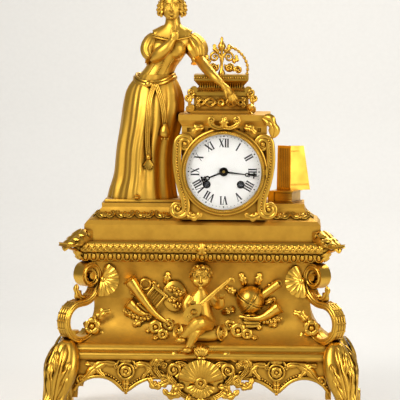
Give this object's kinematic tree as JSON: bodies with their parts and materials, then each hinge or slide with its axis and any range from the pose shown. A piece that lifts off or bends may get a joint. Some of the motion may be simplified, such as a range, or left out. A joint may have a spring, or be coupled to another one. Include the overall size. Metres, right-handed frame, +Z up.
{
  "type": "figural mantel clock",
  "caption": "Gilt-bronze mantel clock: a standing lady rests a hand on a casket above a round enamel dial, on a waisted base with relief, scroll brackets and scroll feet.",
  "frame": {"origin": "on the floor under the middle of the four feet", "axes": "+Z up, the dial faces -Y, +X to the viewer's right"},
  "size_m": [0.3862, 0.1602, 0.5151],
  "materials": {
    "gilt_bronze": "mercury gilding, matt with burnished high points",
    "movement_brass": "polished brass, lacquered by age",
    "steel": "polished steel",
    "dark_steel": "blued steel, nearly black",
    "bell_metal": "turned bell metal",
    "enamel": "glossy white enamel on copper",
    "glass": "clear domed glass"
  },
  "bodies": {
    "case": {"feet": "gilt_bronze", "aprons": "gilt_bronze", "apron_cartouche": "gilt_bronze", "base_frame": "gilt_bronze", "base_body": "gilt_bronze", "cornice": "gilt_bronze", "plinth": "gilt_bronze", "scroll_brackets": "gilt_bronze", "trophy_left": "gilt_bronze", "trophy_right": "gilt_bronze", "cherub": "gilt_bronze", "lady_skirt": "gilt_bronze", "lady_bodice": "gilt_bronze", "lady_head": "gilt_bronze", "lady_right_arm": "gilt_bronze", "lady_left_arm": "gilt_bronze", "lady_girdle": "gilt_bronze", "pedestal": "gilt_bronze", "dial_mounts": "gilt_bronze", "casket_box": "gilt_bronze", "casket_lid": "gilt_bronze", "casket_cresting": "gilt_bronze", "cup": "gilt_bronze", "book_closed": "gilt_bronze", "book_open": "gilt_bronze", "tie_rods": "steel", "dial_ring": "gilt_bronze", "dial": "enamel", "hinge_pins": "steel", "rear_ring": "gilt_bronze", "movement_straps": "steel", "front_plate": "movement_brass", "back_plate": "movement_brass", "plate_pillars": "movement_brass", "clicks": "steel", "suspension_cock": "movement_brass", "bell": "bell_metal", "bell_stand": "steel"},
    "bezel": {"glass_bezel": "gilt_bronze", "dial_glass": "glass"},
    "door": {"back_door": "gilt_bronze"},
    "going_barrel": {"going_barrel": "movement_brass"},
    "strike_barrel": {"strike_barrel": "movement_brass"},
    "going_arbor": {"going_winding_arbor": "steel"},
    "strike_arbor": {"strike_winding_arbor": "steel"},
    "intermediate": {"intermediate_wheel": "movement_brass"},
    "centre": {"centre_wheel": "movement_brass", "minute_hand": "dark_steel"},
    "third": {"third_wheel": "movement_brass"},
    "escape": {"escape_wheel": "movement_brass"},
    "minute_wheel": {"minute_wheel": "movement_brass"},
    "hour": {"hour_wheel": "movement_brass", "hour_hand": "dark_steel"},
    "anchor": {"anchor": "steel"},
    "pendulum": {"pendulum_rod": "steel", "pendulum_bob": "movement_brass"},
    "hammer": {"hammer": "steel"},
    "strike_second": {"strike_second_wheel": "movement_brass"},
    "pin_wheel": {"pin_wheel": "movement_brass"},
    "fly": {"fly": "movement_brass"}
  },
  "joints": [
    {"name": "minute_turn", "type": "hinge", "parent": "case", "child": "centre", "pos_m": [0.0256, 0, 0.2994], "axis": [0, 1, 0], "continuous": true},
    {"name": "intermediate_turn", "type": "hinge", "parent": "case", "child": "intermediate", "pos_m": [0.04193, 0, 0.30335], "axis": [0, 1, 0], "continuous": true},
    {"name": "going_barrel_turn", "type": "hinge", "parent": "case", "child": "going_barrel", "pos_m": [0.0461, 0, 0.284], "axis": [0, 1, 0], "continuous": true},
    {"name": "third_turn", "type": "hinge", "parent": "case", "child": "third", "pos_m": [0.0256, 0, 0.315], "axis": [0, 1, 0], "continuous": true},
    {"name": "escape_turn", "type": "hinge", "parent": "case", "child": "escape", "pos_m": [0.0256, 0, 0.32688], "axis": [0, 1, 0], "continuous": true},
    {"name": "minute_wheel_turn", "type": "hinge", "parent": "case", "child": "minute_wheel", "pos_m": [0.03326, 0, 0.30583], "axis": [0, 1, 0], "continuous": true},
    {"name": "hour_turn", "type": "hinge", "parent": "case", "child": "hour", "pos_m": [0.0256, 0, 0.2994], "axis": [0, 1, 0], "continuous": true},
    {"name": "pin_wheel_turn", "type": "hinge", "parent": "case", "child": "pin_wheel", "pos_m": [0.00336, 0, 0.31448], "axis": [0, 1, 0], "continuous": true},
    {"name": "strike_second_turn", "type": "hinge", "parent": "case", "child": "strike_second", "pos_m": [0.00927, 0, 0.30335], "axis": [0, 1, 0], "continuous": true},
    {"name": "strike_barrel_turn", "type": "hinge", "parent": "case", "child": "strike_barrel", "pos_m": [0.0051, 0, 0.284], "axis": [0, 1, 0], "continuous": true},
    {"name": "fly_turn", "type": "hinge", "parent": "case", "child": "fly", "pos_m": [0.00786, 0, 0.32296], "axis": [0, 1, 0], "continuous": true},
    {"name": "going_wind", "type": "hinge", "parent": "case", "child": "going_arbor", "pos_m": [0.0461, 0, 0.284], "axis": [0, 1, 0], "continuous": true},
    {"name": "strike_wind", "type": "hinge", "parent": "case", "child": "strike_arbor", "pos_m": [0.0051, 0, 0.284], "axis": [0, 1, 0], "continuous": true},
    {"name": "pendulum_swing", "type": "hinge", "parent": "case", "child": "pendulum", "pos_m": [0.0256, 0.019, 0.33808], "axis": [0, 1, 0], "range_deg": [-3.5, 3.5]},
    {"name": "anchor_rock", "type": "hinge", "parent": "case", "child": "anchor", "pos_m": [0.0256, 0, 0.33808], "axis": [0, 1, 0], "range_deg": [-3.5, 3.5]},
    {"name": "hammer_lift", "type": "hinge", "parent": "case", "child": "hammer", "pos_m": [-0.0124, 0, 0.3114], "axis": [0, 1, 0], "range_deg": [0, 14], "stiffness_Nm_per_rad": 0.002, "springref_deg": -11.46},
    {"name": "bezel_open", "type": "hinge", "parent": "case", "child": "bezel", "pos_m": [0.0771, -0.0416, 0.2994], "axis": [0, 0, 1], "range_deg": [0, 100]},
    {"name": "door_open", "type": "hinge", "parent": "case", "child": "door", "pos_m": [-0.0243, 0.0716, 0.2994], "axis": [0, 0, 1], "range_deg": [0, 110]}
  ],
  "couplings": [
    {"joint": "intermediate_turn", "follows": "minute_turn", "ratio": -0.16667},
    {"joint": "going_barrel_turn", "follows": "minute_turn", "ratio": 0.020833},
    {"joint": "third_turn", "follows": "minute_turn", "ratio": -12},
    {"joint": "escape_turn", "follows": "minute_turn", "ratio": 132},
    {"joint": "minute_wheel_turn", "follows": "minute_turn", "ratio": -0.33333},
    {"joint": "hour_turn", "follows": "minute_turn", "ratio": 0.083333},
    {"joint": "strike_second_turn", "follows": "pin_wheel_turn", "ratio": -0.16667},
    {"joint": "strike_barrel_turn", "follows": "pin_wheel_turn", "ratio": 0.020833},
    {"joint": "fly_turn", "follows": "pin_wheel_turn", "ratio": -7},
    {"joint": "anchor_rock", "follows": "pendulum_swing", "ratio": 1}
  ]
}
